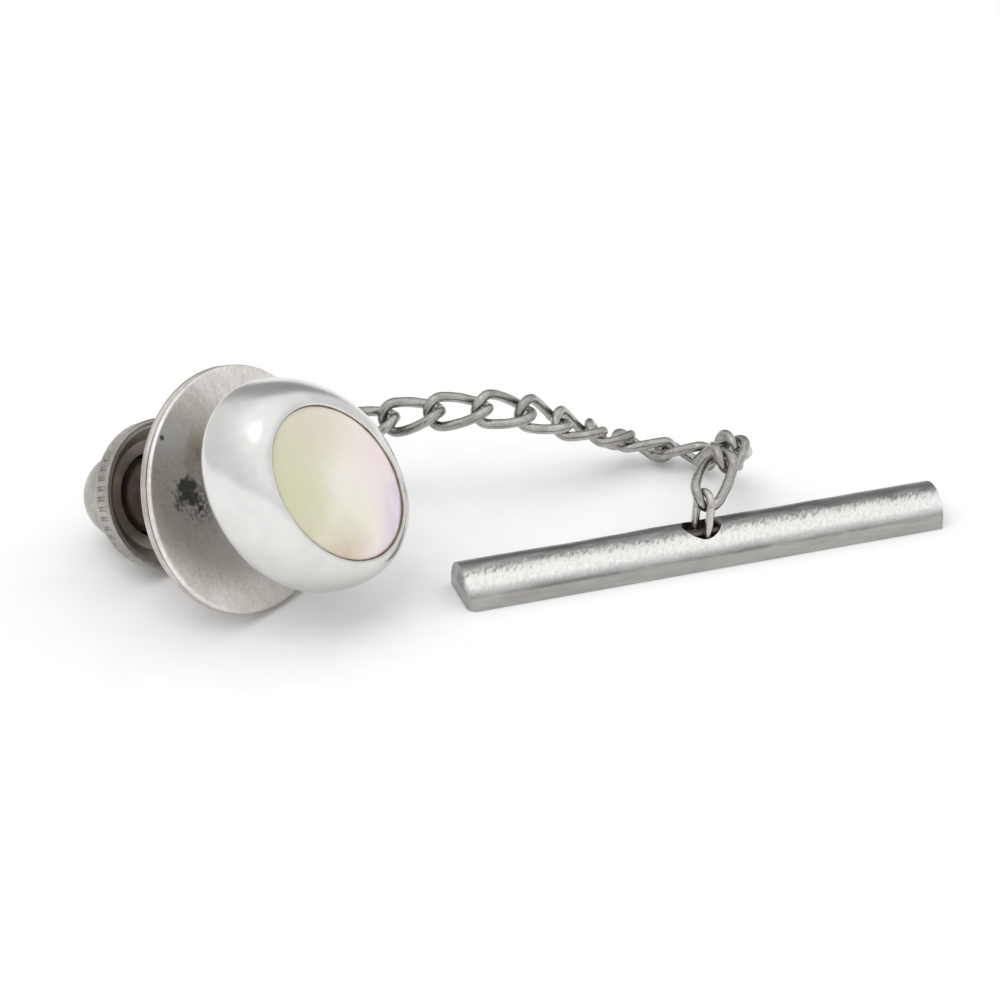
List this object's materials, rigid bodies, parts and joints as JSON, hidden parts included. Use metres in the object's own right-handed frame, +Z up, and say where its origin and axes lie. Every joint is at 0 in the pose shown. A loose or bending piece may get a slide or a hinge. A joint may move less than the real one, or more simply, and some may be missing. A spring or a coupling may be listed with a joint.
{
  "type": "tie tack",
  "caption": "Tie tack: an oval pearl in a polished bezel on a sharp pin, a ball-lock clutch with a broad disc and knurled cap, and a curb chain with a hollow bar.",
  "frame": {"origin": "on the surface the piece lies on, under the middle of its box", "axes": "+Z up; +X along the longest extent, from the clutch to the far end of the bar; the viewer is towards -Y"},
  "size_m": [0.037, 0.0173, 0.0108],
  "materials": {
    "silver": "polished",
    "nacre": "glossy, pearly",
    "nickel": "stained and scratched",
    "dull_nickel": "worn",
    "steel": "plain",
    "chain_wire": "drawn wire",
    "bar_plate": "satin"
  },
  "bodies": {
    "clutch": {"front_plate": "nickel", "back_plate": "nickel", "clutch_barrel": "dull_nickel", "clutch_spring": "steel"},
    "head": {"bezel": "silver", "pearl": "nacre", "head_back": "silver", "pin_post": "steel", "pin_base": "steel"},
    "plunger": {"knurled_cap": "dull_nickel", "cap_liner": "nickel", "ball_cage": "steel"},
    "lock_ball_a": {"ball_a": "steel"},
    "lock_ball_b": {"ball_b": "steel"},
    "lock_ball_c": {"ball_c": "steel"},
    "swivel_ring": {"chain_ring": "chain_wire"},
    "link_01": {"link_01": "chain_wire"},
    "link_02": {"link_02": "chain_wire"},
    "link_03": {"link_03": "chain_wire"},
    "link_04": {"link_04": "chain_wire"},
    "link_05": {"link_05": "chain_wire"},
    "link_06": {"link_06": "chain_wire"},
    "link_07": {"link_07": "chain_wire"},
    "link_08": {"link_08": "chain_wire"},
    "link_09": {"link_09": "chain_wire"},
    "link_10": {"link_10": "chain_wire"},
    "link_11": {"link_11": "chain_wire"},
    "link_12": {"link_12": "chain_wire"},
    "link_13": {"link_13": "chain_wire"},
    "link_14": {"link_14": "chain_wire"},
    "link_15": {"link_15": "chain_wire"},
    "link_16": {"link_16": "chain_wire"},
    "link_17": {"link_17": "chain_wire"},
    "bar": {"bar_shell": "bar_plate", "bar_back": "bar_plate", "anchor_pin": "steel"}
  },
  "joints": [
    {"name": "head_pull", "type": "slide", "parent": "clutch", "child": "head", "axis": [0.7495, -0.5546, 0.3616], "range_m": [0, 0.012]},
    {"name": "cap_pull", "type": "slide", "parent": "clutch", "child": "plunger", "axis": [-0.7495, 0.5546, -0.3616], "range_m": [0, 0.0008], "stiffness_N_per_m": 400, "springref_m": -0.0006, "deforming": ["clutch_spring"]},
    {"name": "ball_a_out", "type": "slide", "parent": "plunger", "child": "lock_ball_a", "axis": [-0.2907, 0.2151, 0.9323], "range_m": [0, 0.00012]},
    {"name": "ball_b_out", "type": "slide", "parent": "plunger", "child": "lock_ball_b", "axis": [-0.3698, -0.8037, -0.4662], "range_m": [0, 0.00012]},
    {"name": "ball_c_out", "type": "slide", "parent": "plunger", "child": "lock_ball_c", "axis": [0.6605, 0.5886, -0.4662], "range_m": [0, 0.00012]},
    {"name": "ring_swivel", "type": "hinge", "parent": "clutch", "child": "swivel_ring", "pos_m": [-0.0133, -0.00136, 0.00392], "axis": [0.7495, -0.5546, 0.3616], "continuous": true},
    {"name": "link_01_hinge", "type": "hinge", "parent": "swivel_ring", "child": "link_01", "pos_m": [-0.01207, 0.00031, 0.00392], "axis": [0.2907, -0.2151, -0.9323], "range_deg": [-14, 14]},
    {"name": "link_02_hinge", "type": "hinge", "parent": "link_01", "child": "link_02", "pos_m": [-0.01074, 0.00186, 0.00384], "axis": [-0.5634, 0.5027, 0.6557], "range_deg": [-4, 4]},
    {"name": "link_03_hinge", "type": "hinge", "parent": "link_02", "child": "link_03", "pos_m": [-0.0091, 0.00312, 0.00385], "axis": [-0.5985, 0.7391, 0.309], "range_deg": [-4, 4]},
    {"name": "link_04_hinge", "type": "hinge", "parent": "link_03", "child": "link_04", "pos_m": [-0.00727, 0.00403, 0.00397], "axis": [-0.4651, 0.8825, -0.0697], "range_deg": [-14, 12]},
    {"name": "link_05_hinge", "type": "hinge", "parent": "link_04", "child": "link_05", "pos_m": [-0.00526, 0.00417, 0.00448], "axis": [0.0599, -0.9658, 0.2522], "range_deg": [-14, 14]},
    {"name": "link_06_hinge", "type": "hinge", "parent": "link_05", "child": "link_06", "pos_m": [-0.00329, 0.00378, 0.00494], "axis": [-0.2086, -0.9449, 0.2522], "range_deg": [-14, 14]},
    {"name": "link_07_hinge", "type": "hinge", "parent": "link_06", "child": "link_07", "pos_m": [-0.00124, 0.00399, 0.005], "axis": [-0.0502, 0.9499, -0.3086], "range_deg": [-14, 14]},
    {"name": "link_08_hinge", "type": "hinge", "parent": "link_07", "child": "link_08", "pos_m": [0.00059, 0.00478, 0.00438], "axis": [-0.3918, 0.9076, -0.1511], "range_deg": [-14, 14]},
    {"name": "link_09_hinge", "type": "hinge", "parent": "link_08", "child": "link_09", "pos_m": [0.00211, 0.00567, 0.00332], "axis": [0.5829, -0.776, 0.2411], "range_deg": [-4, 4]},
    {"name": "link_10_hinge", "type": "hinge", "parent": "link_09", "child": "link_10", "pos_m": [0.00365, 0.0066, 0.00233], "axis": [0.6617, -0.4961, 0.5622], "range_deg": [-8, 0]},
    {"name": "link_11_hinge", "type": "hinge", "parent": "link_10", "child": "link_11", "pos_m": [0.0049, 0.00784, 0.00126], "axis": [0.6808, -0.0897, 0.7269], "range_deg": [-8, 14]},
    {"name": "link_12_hinge", "type": "hinge", "parent": "link_11", "child": "link_12", "pos_m": [0.00693, 0.0079, 0.00069], "axis": [-0.3189, 0.1064, -0.9418], "range_deg": [-14, 12]},
    {"name": "link_13_hinge", "type": "hinge", "parent": "link_12", "child": "link_13", "pos_m": [0.00877, 0.00689, 0.00094], "axis": [0.0632, -0.0295, -0.9976], "range_deg": [-14, 12]},
    {"name": "link_14_hinge", "type": "hinge", "parent": "link_13", "child": "link_14", "pos_m": [0.00967, 0.00528, 0.00198], "axis": [-0.3252, 0.3262, 0.8876], "range_deg": [-14, 14]},
    {"name": "link_15_hinge", "type": "hinge", "parent": "link_14", "child": "link_15", "pos_m": [0.00929, 0.00377, 0.00342], "axis": [0.3986, -0.647, -0.65], "range_deg": [-12, 14]},
    {"name": "link_16_hinge", "type": "hinge", "parent": "link_15", "child": "link_16", "pos_m": [0.00864, 0.00178, 0.00359], "axis": [0.3934, -0.266, -0.88], "range_deg": [-8, 14]},
    {"name": "link_17_hinge", "type": "hinge", "parent": "link_16", "child": "link_17", "pos_m": [0.0078, 0.00024, 0.00237], "axis": [-0.5442, -0.243, 0.803], "range_deg": [-14, 4]},
    {"name": "bar_swing", "type": "hinge", "parent": "link_17", "child": "bar", "pos_m": [0.00777, -0.00001, 0.00107], "axis": [-0.3173, 0.9483, 0], "range_deg": [-20, 20]}
  ],
  "couplings": [
    {"joint": "ball_a_out", "follows": "cap_pull", "ratio": 0.15},
    {"joint": "ball_b_out", "follows": "cap_pull", "ratio": 0.15},
    {"joint": "ball_c_out", "follows": "cap_pull", "ratio": 0.15}
  ]
}
